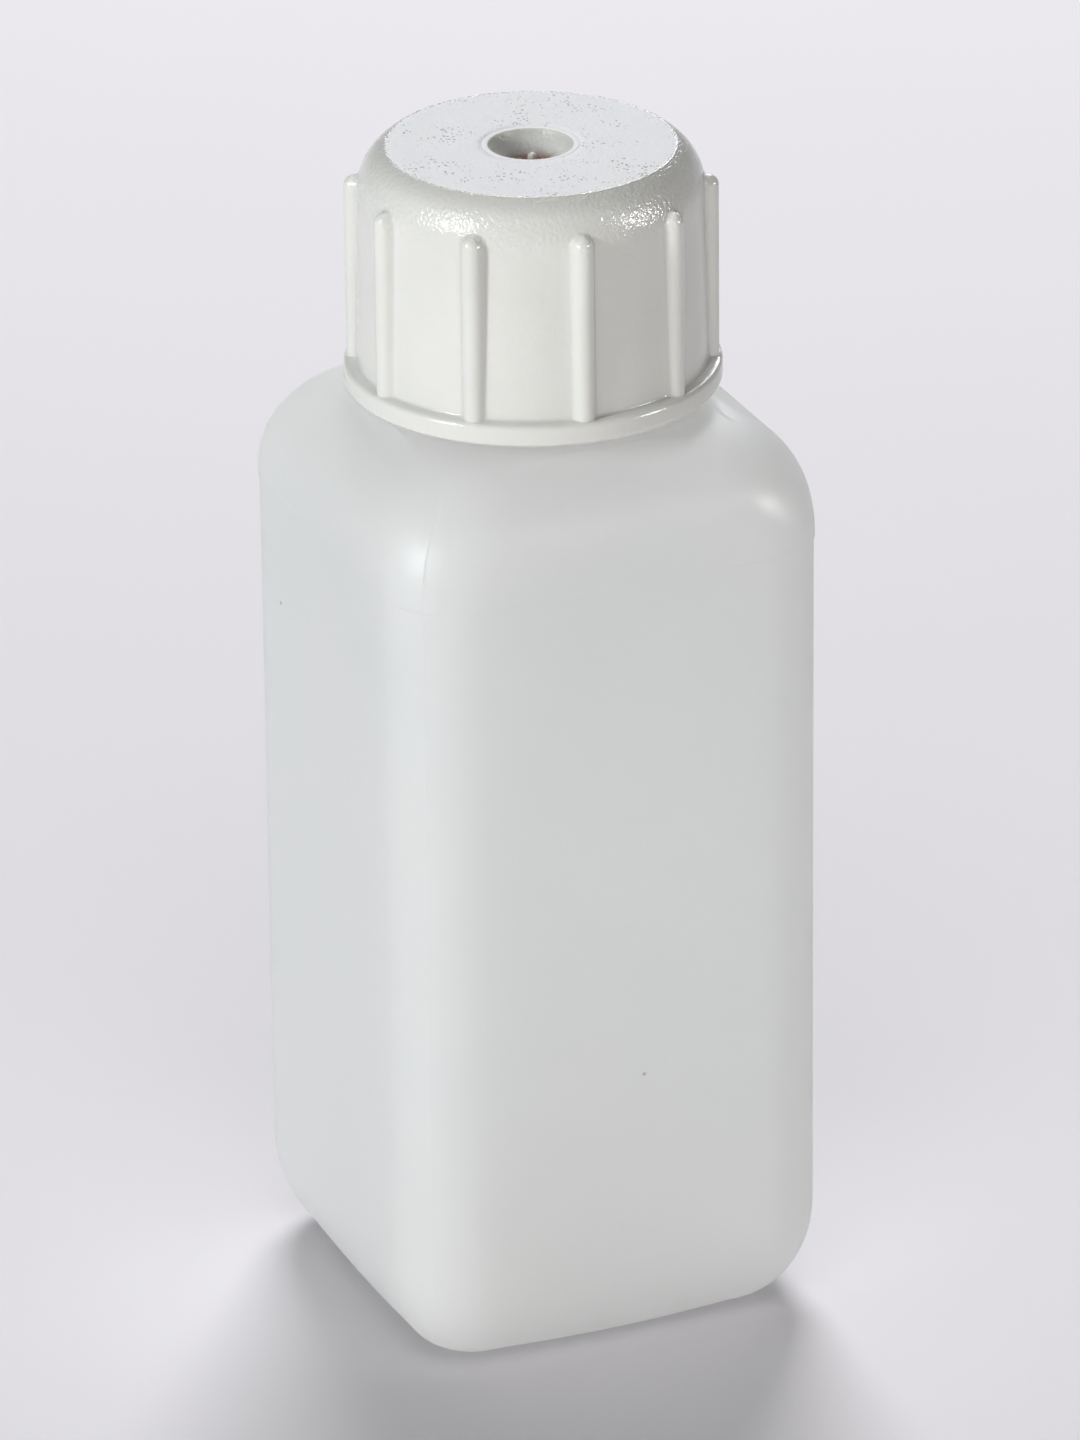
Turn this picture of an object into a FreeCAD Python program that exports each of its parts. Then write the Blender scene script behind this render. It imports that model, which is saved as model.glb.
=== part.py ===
import FreeCAD, Part
import math
import os

import Sketcher

# Square plastic reagent bottle with a ribbed screw cap and a snapped-in sealing insert.
# Millimetres, +Z up, the origin at the centre of the base on the surface that it stands on.

os.makedirs("parts", exist_ok=True)
doc = FreeCAD.newDocument("reagent_bottle")

# ---------------------------------------------------------------- driving dimensions

DIMENSIONS = [
    # bottle: square body, blown with an even wall
    ("body_width", 52.0),
    ("corner_radius", 8.2),
    ("wall", 1.2),
    ("mould_step", 0.12),        # the shoulder insert stands this far proud of the body
    ("base_width", 36.8),        # across the flat that the bottle stands on
    ("base_corner", 4.0),
    ("base_rise", 12.5),         # height of the rounded edge round the base
    ("base_floor", 2.4),         # inside floor above the standing plane
    ("recess_width", 27.0),
    ("recess_corner", 6.0),
    ("recess_depth", 1.0),
    ("pinch_length", 26.0),      # weld line left across the recess by the blow mould
    ("pinch_width", 0.8),
    ("pinch_height", 0.6),
    ("pinch_bury", 0.6),         # depth of the weld line inside the floor of the recess
    # shoulder: the half width and the half diagonal each close in on the neck by a power law
    ("step_level", 96.0),
    ("shoulder_level", 109.7),
    ("neck_root", 18.2),
    ("face_power", 4.15),
    ("face_fall", 1.25),
    ("edge_power", 2.27),
    ("edge_fall", 0.51),
    # neck and its right-hand thread
    ("neck_radius", 16.4),
    ("bore_radius", 14.8),
    ("bore_reach", 3.6),         # how far below the shoulder's top the bore is cleared
    ("land_level", 136.3),
    ("land_chamfer", 0.4),
    ("root_fillet", 1.0),
    ("thread_pitch", 4.0),
    ("thread_height", 1.35),
    ("thread_root", 1.9),
    ("thread_crest", 0.9),
    ("thread_bury", 0.3),
    ("thread_level", 121.0),
    ("thread_rise", 9.0),
    # cap
    ("cap_bottom", 111.8),
    ("cap_top", 139.7),
    ("ring_radius", 21.4),
    ("ring_height", 2.6),
    ("ring_round", 0.6),
    ("ring_fillet", 0.3),        # in the corner between the ring and the skirt
    ("ring_slope", 0.15),        # fall of the ring's upper face from the fillet to its rim
    ("skirt_foot", 19.95),
    ("skirt_head", 19.5),
    ("skirt_bore", 18.1),
    ("crown_level", 134.6),
    ("crown_radius", 5.84),
    ("disc_radius", 16.5),
    ("top_thickness", 2.2),
    ("well_radius", 5.0),
    ("well_floor", 1.8),
    ("well_depth", 2.8),
    ("well_curve", 5.6),         # radius of the dished side of the well
    ("well_lip", 0.3),
    ("well_wall", 1.6),
    ("gate_radius", 0.45),
    ("gate_height", 1.7),
    ("bead_radius", 17.15),
    ("bead_level", 136.1),
    ("bead_height", 0.8),
    ("rib_count", 10.0),
    ("rib_radius", 1.25),
    ("rib_circle", 19.75),
    ("rib_top", 136.0),
    ("rib_phase", 11.7),         # first rib's angle from +X in degrees
    # sealing insert
    ("flange_radius", 17.5),
    ("flange_gap", 0.05),
    ("flange_thickness", 1.1),
    ("plug_radius", 14.72),
    ("plug_depth", 5.1),
    ("plug_land", 1.6),
    ("plug_taper", 0.7),
    ("plug_wall", 1.1),
    ("plug_round", 0.6),
]

sheet = doc.addObject("Spreadsheet::Sheet", "dims")
for row, (alias, value) in enumerate(DIMENSIONS, start=1):
    sheet.set(f"A{row}", alias)
    sheet.set(f"B{row}", str(value))
    sheet.setAlias(f"B{row}", alias)
doc.recompute()

ROOT_TWO = "1.41421356"
DIAGONAL = f"({ROOT_TWO} * (dims.body_width / 2 - dims.corner_radius) + dims.corner_radius)"


def number(expression):
    """The value of an expression over the sheet's cells."""
    result = sheet.evalExpression(expression)
    return float(getattr(result, "Value", result))


# ---------------------------------------------------------------- sketches

ORIGIN = -1
V_AXIS = -2
START, END, CENTRE = 1, 2, 3
ON_AXIS = 1e-9


def origin_plane(body, role):
    return next(item for item in body.Origin.OriginFeatures if item.Role == role)


def origin_axis(body):
    return next(item for item in body.Origin.OriginFeatures if item.Role == "Z_Axis")


def new_sketch(body, name, plane, level="0"):
    """A sketch on one of the body's own origin planes, raised to a level along Z."""
    sketch = body.newObject("Sketcher::SketchObject", name)
    sketch.AttachmentSupport = [(origin_plane(body, plane), "")]
    sketch.MapMode = "FlatFace"
    if level != "0":
        sketch.setExpression("AttachmentOffset.Base.z", level)
    return sketch


def bind(sketch, constraint, name, expression):
    """Adds a driving constraint and ties it to the sheet."""
    index = sketch.addConstraint(constraint)
    sketch.renameConstraint(index, name)
    sketch.setExpression(f"Constraints.{name}", expression)


def rounded_square(body, name, level, half, radius):
    """Square outline with round corners, from expressions for its half width and its radius."""
    sketch = new_sketch(body, name, "XY_Plane", level)
    side, corner = number(half), number(radius)
    flat = side - corner
    up = FreeCAD.Vector(0, 0, 1)
    for quarter in range(4):
        turn = FreeCAD.Rotation(up, 90 * quarter)
        foot = turn.multVec(FreeCAD.Vector(side, -flat, 0))
        head = turn.multVec(FreeCAD.Vector(side, flat, 0))
        centre = turn.multVec(FreeCAD.Vector(flat, flat, 0))
        first = math.radians(90 * quarter)
        circle = Part.Circle(centre, up, corner)
        sketch.addGeometry(Part.LineSegment(foot, head), False)
        sketch.addGeometry(Part.ArcOfCircle(circle, first, first + math.pi / 2), False)
    for quarter in range(4):
        line, arc, following = 2 * quarter, 2 * quarter + 1, (2 * quarter + 2) % 8
        sketch.addConstraint(Sketcher.Constraint("Tangent", line, END, arc, START))
        sketch.addConstraint(Sketcher.Constraint("Tangent", arc, END, following, START))
        upright = quarter % 2 == 0
        sketch.addConstraint(Sketcher.Constraint("Vertical" if upright else "Horizontal", line))
        if quarter:
            sketch.addConstraint(Sketcher.Constraint("Equal", 1, arc))
        axis = "DistanceX" if upright else "DistanceY"
        ends = (ORIGIN, 1, line, START) if quarter in (0, 1) else (line, START, ORIGIN, 1)
        bind(sketch, Sketcher.Constraint(axis, *ends, side), f"half_{quarter}", half)
    bind(sketch, Sketcher.Constraint("Radius", 1, corner), "corner", radius)
    return sketch


def circle_sketch(body, name, level, radius):
    sketch = new_sketch(body, name, "XY_Plane", level)
    outline = Part.Circle(FreeCAD.Vector(0, 0, 0), FreeCAD.Vector(0, 0, 1), number(radius))
    sketch.addGeometry(outline, False)
    sketch.addConstraint(Sketcher.Constraint("Coincident", 0, CENTRE, ORIGIN, 1))
    bind(sketch, Sketcher.Constraint("Radius", 0, number(radius)), "radius", radius)
    return sketch


def arc_between(start, end, radius, clockwise):
    """Shorter arc of a given radius from start to end."""
    chord = end - start
    reach = math.sqrt(max(radius ** 2 - (chord.Length / 2) ** 2, 0.0))
    side = FreeCAD.Vector(-chord.y, chord.x, 0).normalize()
    centre = (start + end) * 0.5 + side * (-reach if clockwise else reach)
    first, last = (end, start) if clockwise else (start, end)
    angles = [math.atan2(p.y - centre.y, p.x - centre.x) for p in (first, last)]
    return Part.ArcOfCircle(Part.Circle(centre, FreeCAD.Vector(0, 0, 1), radius), *angles)


def section_sketch(body, name, path):
    """Closed outline in the XZ plane. Each step of the path is (x, z) for a straight edge to that
    point, or (x, z, radius, clockwise) for an arc to it; all but clockwise are expressions."""
    sketch = new_sketch(body, name, "XZ_Plane")
    points = [FreeCAD.Vector(number(step[0]), number(step[1]), 0) for step in path]
    joints = []
    for index, step in enumerate(path):
        start, end = points[index - 1], points[index]
        if len(step) == 2:
            sketch.addGeometry(Part.LineSegment(start, end), False)
            joints.append((START, END))
        else:
            sketch.addGeometry(arc_between(start, end, number(step[2]), step[3]), False)
            joints.append((END, START) if step[3] else (START, END))
    for index, step in enumerate(path):
        after = (index + 1) % len(path)
        own_end, next_start = joints[index][1], joints[after][0]
        sketch.addConstraint(Sketcher.Constraint("Coincident", index, own_end, after, next_start))
        if points[index].x < ON_AXIS:
            sketch.addConstraint(Sketcher.Constraint("PointOnObject", index, own_end, V_AXIS))
        else:
            place = Sketcher.Constraint("DistanceX", ORIGIN, 1, index, own_end, points[index].x)
            bind(sketch, place, f"x_{index}", step[0])
        place = Sketcher.Constraint("DistanceY", ORIGIN, 1, index, own_end, points[index].y)
        bind(sketch, place, f"z_{index}", step[1])
        if len(step) == 4:
            bind(sketch, Sketcher.Constraint("Radius", index, number(step[2])), f"r_{index}", step[2])
    return sketch


# ---------------------------------------------------------------- features


def new_body(label):
    body = doc.addObject("PartDesign::Body", label)
    body.Label = label
    body.Placement = FreeCAD.Placement()
    return body


def revolve(body, name, sketch):
    feature = body.newObject("PartDesign::Revolution", name)
    feature.Profile = sketch
    feature.ReferenceAxis = (sketch, ["V_Axis"])
    feature.Angle = 360
    return feature


def extrude(body, name, kind, sketch, length, down=False):
    feature = body.newObject(kind, name)
    feature.Profile = sketch
    feature.setExpression("Length", length)
    feature.Reversed = down
    return feature


def loft(body, name, kind, sketches):
    feature = body.newObject(kind, name)
    feature.Profile = sketches[0]
    feature.Sections = sketches[1:]
    return feature


def helical_ridge(body, name, section):
    """Right-hand thread ridge swept up from its section."""
    feature = body.newObject("PartDesign::AdditiveHelix", name)
    feature.Profile = section
    feature.ReferenceAxis = (section, ["V_Axis"])
    feature.Mode = "pitch-height-angle"
    feature.setExpression("Pitch", "dims.thread_pitch")
    feature.setExpression("Height", "dims.thread_rise")
    return feature


# ---------------------------------------------------------------- bottle

BASE_ANGLES = (0, 25, 45, 65, 90)
SHOULDER_STEPS = (0.0, 0.3, 0.5, 0.65, 0.78, 0.88, 0.95, 0.985)


def base_sections(body, prefix, inset, floor):
    """Outlines up the rounded edge of the base, which is a quarter of an ellipse in section."""
    outlines = []
    for angle in BASE_ANGLES:
        level = f"{floor} + (dims.base_rise - {floor}) * (1 - cos({angle} deg))"
        half = (f"(dims.base_width + (dims.body_width - 2 * dims.mould_step - dims.base_width)"
                f" * sin({angle} deg)) / 2 - {inset}")
        radius = (f"dims.base_corner + (dims.corner_radius - dims.base_corner)"
                  f" * sin({angle} deg) - {inset}")
        outlines.append(rounded_square(body, f"{prefix}_{angle}", level, half, radius))
    return outlines


def shoulder_sections(body, prefix, inset):
    """Outlines up the shoulder, from the square body to the nearly round root of the neck."""
    outlines = []
    for step in SHOULDER_STEPS:
        level = f"dims.step_level + (dims.shoulder_level - {inset} - dims.step_level) * {step}"
        face = (f"(dims.neck_root + (dims.body_width / 2 - dims.neck_root)"
                f" * (1 - {step} ^ dims.face_power) ^ dims.face_fall)")
        edge = (f"(dims.neck_root + ({DIAGONAL} - dims.neck_root)"
                f" * (1 - {step} ^ dims.edge_power) ^ dims.edge_fall)")
        radius = f"({ROOT_TWO} * {face} - {edge}) / ({ROOT_TWO} - 1) - {inset}"
        name = f"{prefix}_{round(1000 * step)}"
        outlines.append(rounded_square(body, name, level, f"{face} - {inset}", radius))
    return outlines


def thread_section(body, name, wall_radius, outward, level):
    """Trapezium that sinks a little into the wall that it stands on."""
    sign = "+" if outward else "-"
    back = "-" if outward else "+"
    buried = f"{wall_radius} {back} dims.thread_bury"
    crest = f"{wall_radius} {sign} dims.thread_height"
    return section_sketch(body, name, [
        (buried, f"{level} - dims.thread_root / 2"),
        (wall_radius, f"{level} - dims.thread_root / 2"),
        (crest, f"{level} - dims.thread_crest / 2"),
        (crest, f"{level} + dims.thread_crest / 2"),
        (wall_radius, f"{level} + dims.thread_root / 2"),
        (buried, f"{level} + dims.thread_root / 2"),
    ])


def neck_section(body):
    """Half section of the neck tube, with a round root and small chamfers on the land."""
    buried = "dims.shoulder_level - dims.wall"
    unlofted = f"{1 - SHOULDER_STEPS[-1]:.3f} * (dims.shoulder_level - dims.step_level)"
    root = f"dims.shoulder_level - {unlofted}"
    return section_sketch(body, "neck_outline", [
        ("dims.bore_radius", buried),
        ("dims.neck_radius + dims.root_fillet", buried),
        ("dims.neck_radius + dims.root_fillet", root),
        ("dims.neck_radius", f"{root} + dims.root_fillet", "dims.root_fillet", True),
        ("dims.neck_radius", "dims.land_level - dims.land_chamfer"),
        ("dims.neck_radius - dims.land_chamfer", "dims.land_level"),
        ("dims.bore_radius + dims.land_chamfer", "dims.land_level"),
        ("dims.bore_radius", "dims.land_level - dims.land_chamfer"),
    ])


def make_bottle():
    body = new_body("bottle")
    base = base_sections(body, "base", "0", "0")
    loft(body, "base_edge", "PartDesign::AdditiveLoft", base)
    straight = "dims.step_level - dims.base_rise"
    extrude(body, "panels", "PartDesign::Pad", base[-1], straight)
    shoulder = shoulder_sections(body, "shoulder", "0")
    loft(body, "shoulder_form", "PartDesign::AdditiveLoft", shoulder)

    revolve(body, "neck_tube", neck_section(body))

    inside = base_sections(body, "inner_base", "dims.wall", "dims.base_floor")
    loft(body, "base_hollow", "PartDesign::SubtractiveLoft", inside)
    extrude(body, "panel_hollow", "PartDesign::Pocket", inside[-1], straight, down=True)
    ceiling = shoulder_sections(body, "inner_shoulder", "dims.wall")
    loft(body, "shoulder_hollow", "PartDesign::SubtractiveLoft", ceiling)
    bore_floor = "dims.shoulder_level - dims.bore_reach"
    bore = circle_sketch(body, "bore_outline", bore_floor, "dims.bore_radius")
    extrude(body, "bore", "PartDesign::Pocket", bore,
            f"dims.land_level - ({bore_floor})", down=True)

    recess = rounded_square(body, "recess_outline", "0", "dims.recess_width / 2",
                            "dims.recess_corner")
    extrude(body, "recess", "PartDesign::Pocket", recess, "dims.recess_depth", down=True)
    weld = body.newObject("PartDesign::AdditiveBox", "pinch_weld")
    weld.setExpression("Length", "dims.pinch_length")
    weld.setExpression("Width", "dims.pinch_width")
    weld.setExpression("Height", "dims.pinch_height + dims.pinch_bury")
    weld.AttachmentSupport = [(origin_plane(body, "XY_Plane"), "")]
    weld.MapMode = "FlatFace"
    weld.AttachmentOffset = FreeCAD.Placement(
        FreeCAD.Vector(0, 0, 0), FreeCAD.Rotation(FreeCAD.Vector(0, 0, 1), 45))
    weld.setExpression("AttachmentOffset.Base.x",
                       f"(dims.pinch_width - dims.pinch_length) / 2 / {ROOT_TWO}")
    weld.setExpression("AttachmentOffset.Base.y",
                       f"-(dims.pinch_width + dims.pinch_length) / 2 / {ROOT_TWO}")
    weld.setExpression("AttachmentOffset.Base.z", "dims.recess_depth - dims.pinch_height")

    ridge = thread_section(body, "thread_outline", "dims.neck_radius", True, "dims.thread_level")
    helical_ridge(body, "thread", ridge)
    return body


# ---------------------------------------------------------------- screw cap


def cap_section(body):
    """Half section of the cap: gate well, disc, crown, skirt, ring, inside wall and well boss."""
    ring_top = "dims.cap_bottom + dims.ring_height"
    ceiling = "dims.cap_top - dims.top_thickness"
    well_floor = "dims.cap_top - dims.well_depth"
    gate_top = f"{well_floor} + dims.gate_height"
    boss_floor = f"{well_floor} - dims.well_wall"
    bead_floor = "dims.bead_level - dims.bead_height"
    return section_sketch(body, "cap_outline", [
        ("0", gate_top),
        ("dims.gate_radius", gate_top),
        ("dims.gate_radius", well_floor),
        ("dims.well_floor", well_floor),
        ("dims.well_radius - dims.well_lip", "dims.cap_top - dims.well_lip",
         "dims.well_curve", False),
        ("dims.well_radius", "dims.cap_top", "dims.well_lip", True),
        ("dims.disc_radius", "dims.cap_top"),
        ("dims.skirt_head", "dims.crown_level", "dims.crown_radius", True),
        ("dims.skirt_foot", f"{ring_top} + dims.ring_fillet"),
        ("dims.skirt_foot + dims.ring_fillet", ring_top, "dims.ring_fillet", False),
        ("dims.ring_radius - dims.ring_fillet", f"{ring_top} - dims.ring_slope"),
        ("dims.ring_radius", f"{ring_top} - dims.ring_round", "dims.ring_round", True),
        ("dims.ring_radius", "dims.cap_bottom + dims.ring_round"),
        ("dims.ring_radius - dims.ring_round", "dims.cap_bottom", "dims.ring_round", True),
        ("dims.skirt_bore + dims.ring_round", "dims.cap_bottom"),
        ("dims.skirt_bore", "dims.cap_bottom + dims.ring_round"),
        ("dims.skirt_bore", f"{bead_floor} - dims.bead_height"),
        ("dims.bead_radius", bead_floor),
        ("dims.bead_radius", "dims.bead_level"),
        ("dims.skirt_bore", "dims.bead_level"),
        ("dims.skirt_bore", ceiling),
        ("dims.well_radius + dims.well_wall", ceiling),
        ("dims.well_radius", boss_floor),
        ("0", boss_floor),
    ])


def make_screw_cap():
    body = new_body("screw_cap")
    revolve(body, "cap_form", cap_section(body))

    foot = "dims.cap_bottom + dims.ring_height / 2"
    shaft = body.newObject("PartDesign::AdditiveCylinder", "rib_shaft")
    shaft.setExpression("Radius", "dims.rib_radius")
    shaft.setExpression("Height", f"dims.rib_top - dims.rib_radius - ({foot})")
    crown = body.newObject("PartDesign::AdditiveSphere", "rib_crown")
    crown.setExpression("Radius", "dims.rib_radius")
    for piece, level in ((shaft, foot), (crown, "dims.rib_top - dims.rib_radius")):
        piece.AttachmentSupport = [(origin_plane(body, "XY_Plane"), "")]
        piece.MapMode = "FlatFace"
        piece.setExpression("AttachmentOffset.Base.x", "dims.rib_circle * cos(dims.rib_phase * 1deg)")
        piece.setExpression("AttachmentOffset.Base.y", "dims.rib_circle * sin(dims.rib_phase * 1deg)")
        piece.setExpression("AttachmentOffset.Base.z", level)
    ribs = body.newObject("PartDesign::PolarPattern", "ribs")
    ribs.Originals = [shaft, crown]
    ribs.Axis = (origin_axis(body), [""])
    ribs.Angle = 360
    ribs.setExpression("Occurrences", "dims.rib_count")
    body.Tip = ribs

    between_turns = "dims.thread_level - dims.thread_pitch / 2"
    ridge = thread_section(body, "cap_thread_outline", "dims.skirt_bore", False, between_turns)
    body.Tip = helical_ridge(body, "cap_thread", ridge)
    return body


# ---------------------------------------------------------------- sealing insert


def make_sealing_insert():
    """Flange that lies on the neck's land, and a cup-shaped plug that fills the bore."""
    body = new_body("sealing_insert")
    top = "dims.cap_top - dims.top_thickness - dims.flange_gap"
    under = f"{top} - dims.flange_thickness"
    plug_foot = f"{under} - dims.plug_depth"
    taper_top = f"{under} - dims.plug_land"
    nose = "dims.plug_radius - dims.plug_taper"
    section = section_sketch(body, "insert_outline", [
        ("0", plug_foot),
        (f"{nose} - dims.plug_round", plug_foot),
        (nose, f"{plug_foot} + dims.plug_round", "dims.plug_round", False),
        ("dims.plug_radius", taper_top),
        ("dims.plug_radius", under),
        ("dims.flange_radius", under),
        ("dims.flange_radius", top),
        ("dims.plug_radius - dims.plug_wall", top),
        (f"{nose} - dims.plug_wall", f"{plug_foot} + dims.plug_wall"),
        ("0", f"{plug_foot} + dims.plug_wall"),
    ])
    revolve(body, "insert_form", section)
    return body


# ---------------------------------------------------------------- build, test and write

bodies = [make_bottle(), make_screw_cap(), make_sealing_insert()]
doc.recompute()

for item in doc.Objects:
    if "Invalid" in item.State or "Error" in item.State:
        raise RuntimeError(f"{item.Name} failed: {item.State}")
for body in bodies:
    if body.Shape.isNull() or not body.Shape.isValid():
        raise RuntimeError(f"{body.Label} has no valid shape")
    if len(body.Shape.Solids) != 1:
        raise RuntimeError(f"{body.Label} isn't one solid")
for body in bodies:
    body.Shape.exportStep(f"parts/{body.Label}.step")
    print(f"{body.Label}: {body.Shape.Volume / 1000:.2f} cubic centimetres")
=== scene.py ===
import math

import bpy
import numpy as np
from mathutils import Matrix, Vector


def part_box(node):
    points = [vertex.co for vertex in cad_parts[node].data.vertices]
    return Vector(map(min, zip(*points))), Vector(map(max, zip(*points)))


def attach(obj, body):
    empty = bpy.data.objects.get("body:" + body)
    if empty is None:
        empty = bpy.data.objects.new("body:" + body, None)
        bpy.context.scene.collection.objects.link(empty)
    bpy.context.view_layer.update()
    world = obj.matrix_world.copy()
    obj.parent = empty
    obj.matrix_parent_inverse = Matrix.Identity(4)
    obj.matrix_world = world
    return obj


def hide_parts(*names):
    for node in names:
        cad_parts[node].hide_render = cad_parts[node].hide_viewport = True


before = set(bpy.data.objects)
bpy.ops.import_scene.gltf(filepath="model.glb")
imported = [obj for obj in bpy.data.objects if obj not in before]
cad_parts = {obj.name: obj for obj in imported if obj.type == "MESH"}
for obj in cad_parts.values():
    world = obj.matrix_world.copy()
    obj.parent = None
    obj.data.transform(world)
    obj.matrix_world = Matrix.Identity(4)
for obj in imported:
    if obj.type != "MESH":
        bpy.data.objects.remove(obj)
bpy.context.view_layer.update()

# Square polyethylene reagent bottle, its ribbed screw cap and the sealing insert inside the cap.
# Metres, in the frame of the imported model: +Z up, origin at the centre of the base.

MM = 0.001
QUARTER_TURN = math.pi / 2
FULL_TURN = 2 * math.pi
NEARLY_NOTHING = 1e-9

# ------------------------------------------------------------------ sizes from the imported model

bottle_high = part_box("bottle")[1]
cap_low, cap_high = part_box("screw_cap")

HALF = bottle_high[0]            # half width of the shoulder, the widest part of the bottle
LAND = bottle_high[2]            # top of the neck
CAP_FOOT = cap_low[2]
CAP_TOP = cap_high[2]
RING = cap_high[0]               # radius of the ring round the foot of the cap

# ------------------------------------------------------------------ sizes of the bottle

CORNER = 8.2 * MM                # radius of the upright edges
WALL = 1.2 * MM
STEP = 0.12 * MM                 # the body's half width is this much less than the shoulder's by its corners
STEP_AT_FACE = 0.015 * MM        # and this much less at the middle of its faces
STEP_LEVEL = 96.0 * MM
STEP_END = 0.2 * MM              # the shoulder starts this far over the foot of the step
BODY_HALF = HALF - STEP
PANEL_TOP = STEP_LEVEL - 4 * MM
SINK = -0.28 * MM                # the panels are sunk a little at their middle
SHOULDER_LEVEL = 109.7 * MM
FACE_CURVE = (4.15, 1.25)        # powers of the shoulder's curve over the middle of a face
EDGE_CURVE = (2.27, 0.51)        # and over an upright edge

BASE_HALF = 17.6 * MM            # flat that the bottle stands on
BASE_CORNER = 3.2 * MM
BASE_BOW = 1.35 * MM             # the faces belly out as the base turns under
BOW_POWER = 1.3                  # how soon a bow or a sink dies away towards the corners
BASE_RISE = 12.5 * MM
FLOOR = 2.4 * MM
FLOOR_MIDDLE = 8 * MM            # innermost ring of the floor, with its corner radius
FLOOR_MIDDLE_CORNER = 3 * MM

RECESS_HALF = 13.5 * MM
RECESS_RIM = 14.0 * MM
RECESS_CORNER = 6.0 * MM
RECESS_DEPTH = 1.0 * MM
# Half widths of the recess in millimetres, each with its share of the depth: a flat roof and a rounded side.
RECESS_PROFILE = ((0.6, 1.0), (4, 1.0), (8, 1.0), (11, 1.0), (12.3, 0.99), (12.8, 0.95), (13.05, 0.85),
                  (13.2, 0.7), (13.35, 0.4), (13.5, 0.15), (13.7, 0.04), (14.0, 0.0))

WELD_HALF_LENGTH = 12.6 * MM     # seam where the bottle was pinched shut, under its base
WELD_HALF_WIDTH = 0.42 * MM
WELD_HEIGHT = 0.5 * MM
WELD_WANDER = 0.05 * MM          # sideways waves of the seam, long and short
WELD_RIPPLE = 0.03 * MM
WELD_UNEVEN = 0.12               # share of its height by which the seam rises and falls

CROWDING = 0.16                  # radians by which the mesh's columns shift towards the corners
PARTING = (0.25 * math.pi, 1.25 * math.pi)
PARTING_HEIGHT = 0.07 * MM
PARTING_WIDTH = 0.11 * MM
PARTING_REACH = 33 * MM          # about how far the parting line is from the axis
PARTING_FOOT = 3 * MM
PARTING_FAINT = 0.3              # share of its height that the line keeps away from the shoulder's edge
PARTING_GROWS = (97 * MM, 101 * MM)
PARTING_FADES = (105 * MM, 108 * MM)

NECK_ROOT = 18.2 * MM
ROOT_ROUND = 1.0 * MM
ROOT_RISE = 0.1 * MM
NECK = 16.4 * MM
BORE = 14.8 * MM
BORE_FOOT = 109.0 * MM
LAND_ROUND = 0.4 * MM

THREAD_PITCH = 4.0 * MM
THREAD_HEIGHT = 1.35 * MM
THREAD_HALF = 0.95 * MM          # half width at the thread's root
THREAD_CREST = 0.40 * MM         # and at its crest
THREAD_LEVEL = 121.0 * MM
THREAD_TURNS = 2.25
THREAD_RUN_OUT = 0.35            # radians over which each end of the thread fades
THREADED_NECK = (119.6 * MM, 131.6 * MM)     # levels between which the rings lie close, for the thread

# ------------------------------------------------------------------ sizes of the cap

RING_HEIGHT = 2.6 * MM
RING_TOP = CAP_FOOT + RING_HEIGHT
RING_ROUND = 0.6 * MM
RING_BEVEL = 0.3 * MM            # the ring's top slopes down outwards from here
RING_SLOPE = 0.15 * MM
SKIRT_FILLET = 0.3 * MM          # where the skirt stands on the ring
SKIRT_FOOT = 19.95 * MM
SKIRT_HEAD = 19.5 * MM
SKIRT_BORE = 18.1 * MM
CROWN_LEVEL = 134.6 * MM
CROWN = 5.84 * MM
TAPER_FOOT = RING_TOP + 1.0 * MM
TAPER_HEAD = CROWN_LEVEL - 2.2 * MM

DISC = 16.5 * MM
DISC_STEP = 0.07 * MM            # the textured disc stands this far above the crown
DISC_EDGE = ((0.03 * MM, 0.02 * MM), (0.12 * MM, 0.0))    # how far in from the disc's edge, how far down
DISC_EDGE_DEPTH = 0.1 * MM       # the rings this near the disc's top and edge are ragged
DISC_EDGE_WIDTH = 0.14 * MM
DISC_RAGGED = 0.09 * MM          # the disc's edge wanders by about this much
DISC_WAVES = (23, 41, 67, 89, 113, 139)
TOP_THICKNESS = 2.2 * MM
CEILING = CAP_TOP - TOP_THICKNESS

WELL = 5.0 * MM
WELL_FLOOR = 1.8 * MM
WELL_LEVEL = CAP_TOP - 2.8 * MM
WELL_CURVE = 5.6 * MM
WELL_LIP = 0.3 * MM
WELL_WALL = 1.6 * MM
LIP_BAND = 5.5 * MM              # smooth band round the well, parted from the texture by a fine groove
LIP_GROOVE = 0.08 * MM

GATE = 0.45 * MM
GATE_HEIGHT = 1.7 * MM
GATE_FILLET = 0.12 * MM
GATE_TIP = 0.3 * MM              # height, bend and flat of the gate mark's rounded end
GATE_TIP_BEND = 0.35 * MM
GATE_TIP_FLAT = 0.12 * MM
GATE_LEAN = (0.10, -0.06)        # sideways shift for its height
GATE_WAVER = 0.05 * MM           # its surface wavers sideways by this much, three times round it
GATE_WAVER_RATE = 2.25 / MM      # radians that the waver turns for its height

BEAD = 17.15 * MM
BEAD_LEVEL = 136.1 * MM
BEAD_HEIGHT = 0.8 * MM
BEAD_BEVEL = 0.1 * MM
CAP_THREAD_LEVEL = THREAD_LEVEL - THREAD_PITCH / 2
THREADED_CAP = (117.4 * MM, 129.6 * MM)

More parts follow.
